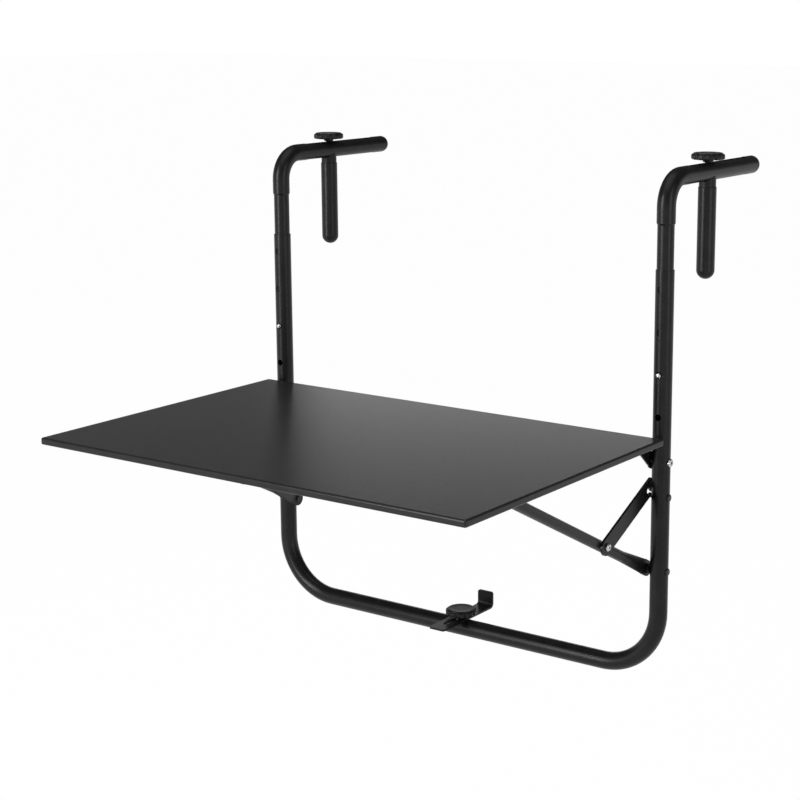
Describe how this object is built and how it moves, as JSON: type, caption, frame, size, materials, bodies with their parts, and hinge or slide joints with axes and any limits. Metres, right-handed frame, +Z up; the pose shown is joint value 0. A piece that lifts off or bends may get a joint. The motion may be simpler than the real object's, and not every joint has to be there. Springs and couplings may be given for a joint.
{
  "type": "folding balcony table",
  "caption": "Folding table that hangs on a balcony railing: hinged steel top on swing-out struts, a bent tube frame, height-adjustable hooks with screw clamps, and a low spacer plate.",
  "frame": {"origin": "middle of the railing's top front edge: the hook arms rest at z = 0 and the risers touch y = 0", "axes": "+X to the right seen from the table's front, +Y towards the railing, +Z up"},
  "size_m": [0.6144, 0.645, 0.6262],
  "materials": {
    "black_powder_coat": "fine-textured black powder coat",
    "charcoal_top": "matt charcoal powder coat",
    "black_plastic": "moulded black plastic",
    "zinc_steel": "zinc-plated steel",
    "black_rivet": "black-coated steel"
  },
  "bodies": {
    "frame": {"lower_frame": "black_powder_coat", "spacer_insert": "zinc_steel", "left_hinge_bolt": "zinc_steel", "left_hinge_nut": "zinc_steel", "left_pivot_rivet": "black_rivet", "left_pivot_bush": "black_plastic", "left_latch_pin": "black_rivet", "right_hinge_bolt": "zinc_steel", "right_hinge_nut": "zinc_steel", "right_pivot_rivet": "black_rivet", "right_pivot_bush": "black_plastic", "right_latch_pin": "black_rivet"},
    "table": {"table_top": "charcoal_top", "left_hinge_bracket": "black_powder_coat", "right_hinge_bracket": "black_powder_coat"},
    "left_strut": {"left_strut": "black_powder_coat", "left_strut_cap": "black_plastic", "left_elbow_bolt": "zinc_steel", "left_elbow_nut": "zinc_steel"},
    "left_link": {"left_latch_link": "black_powder_coat"},
    "left_hook": {"left_hook_tube": "black_powder_coat", "left_hook_cap": "black_plastic", "left_snap_spring": "zinc_steel"},
    "left_button": {"left_snap_button": "zinc_steel"},
    "left_clamp": {"left_clamp_post": "black_powder_coat", "left_clamp_foot": "black_plastic", "left_clamp_saddle": "black_plastic", "left_clamp_nut": "zinc_steel"},
    "left_knob": {"left_clamp_knob": "black_plastic", "left_clamp_screw": "zinc_steel"},
    "right_strut": {"right_strut": "black_powder_coat", "right_strut_cap": "black_plastic", "right_elbow_bolt": "zinc_steel", "right_elbow_nut": "zinc_steel"},
    "right_link": {"right_latch_link": "black_powder_coat"},
    "right_hook": {"right_hook_tube": "black_powder_coat", "right_hook_cap": "black_plastic", "right_snap_spring": "zinc_steel"},
    "right_button": {"right_snap_button": "zinc_steel"},
    "right_clamp": {"right_clamp_post": "black_powder_coat", "right_clamp_foot": "black_plastic", "right_clamp_saddle": "black_plastic", "right_clamp_nut": "zinc_steel"},
    "right_knob": {"right_clamp_knob": "black_plastic", "right_clamp_screw": "zinc_steel"},
    "spacer": {"spacer_plate": "black_powder_coat"},
    "spacer_knob": {"spacer_knob": "black_plastic", "spacer_screw": "zinc_steel"}
  },
  "joints": [
    {"name": "table_fold", "type": "hinge", "parent": "frame", "child": "table", "pos_m": [0, -0.011, -0.321], "axis": [1, 0, 0], "range_deg": [0, 82]},
    {"name": "left_strut_swing", "type": "hinge", "parent": "frame", "child": "left_strut", "pos_m": [-0.2655, -0.011, -0.4544], "axis": [1, 0, 0], "range_deg": [0, 105]},
    {"name": "left_latch_swing", "type": "hinge", "parent": "left_strut", "child": "left_link", "pos_m": [-0.274, -0.11354, -0.40125], "axis": [1, 0, 0], "range_deg": [-40, 0]},
    {"name": "left_hook_height", "type": "slide", "parent": "frame", "child": "left_hook", "axis": [0, 0, 1], "range_m": [-0.05, 0.1], "deforming": ["left_snap_spring", "left_snap_button"]},
    {"name": "left_button_press", "type": "slide", "parent": "left_hook", "child": "left_button", "axis": [0, 1, 0], "range_m": [0, 0.0042], "stiffness_N_per_m": 1500},
    {"name": "left_clamp_slide", "type": "slide", "parent": "left_hook", "child": "left_clamp", "axis": [0, 1, 0], "range_m": [-0.045, 0.09]},
    {"name": "left_clamp_knob_turn", "type": "hinge", "parent": "left_clamp", "child": "left_knob", "pos_m": [-0.2875, 0.089, 0.03], "axis": [0, 0, 1], "continuous": true},
    {"name": "right_strut_swing", "type": "hinge", "parent": "frame", "child": "right_strut", "pos_m": [0.2655, -0.011, -0.4544], "axis": [1, 0, 0], "range_deg": [0, 105]},
    {"name": "right_latch_swing", "type": "hinge", "parent": "right_strut", "child": "right_link", "pos_m": [0.274, -0.11354, -0.40125], "axis": [1, 0, 0], "range_deg": [-40, 0]},
    {"name": "right_hook_height", "type": "slide", "parent": "frame", "child": "right_hook", "axis": [0, 0, 1], "range_m": [-0.05, 0.1], "deforming": ["right_snap_spring", "right_snap_button"]},
    {"name": "right_button_press", "type": "slide", "parent": "right_hook", "child": "right_button", "axis": [0, 1, 0], "range_m": [0, 0.0042], "stiffness_N_per_m": 1500},
    {"name": "right_clamp_slide", "type": "slide", "parent": "right_hook", "child": "right_clamp", "axis": [0, 1, 0], "range_m": [-0.045, 0.09]},
    {"name": "right_clamp_knob_turn", "type": "hinge", "parent": "right_clamp", "child": "right_knob", "pos_m": [0.2875, 0.089, 0.03], "axis": [0, 0, 1], "continuous": true},
    {"name": "spacer_slide", "type": "slide", "parent": "frame", "child": "spacer", "axis": [0, 1, 0], "range_m": [-0.02, 0.03]},
    {"name": "spacer_knob_turn", "type": "hinge", "parent": "frame", "child": "spacer_knob", "pos_m": [0, -0.011, -0.56], "axis": [0, 0, 1], "continuous": true}
  ],
  "couplings": [
    {"joint": "left_strut_swing", "follows": "table_fold", "ratio": 1.2793},
    {"joint": "left_latch_swing", "follows": "table_fold", "ratio": -0.47561},
    {"joint": "right_strut_swing", "follows": "table_fold", "ratio": 1.2793},
    {"joint": "right_latch_swing", "follows": "table_fold", "ratio": -0.47561}
  ]
}
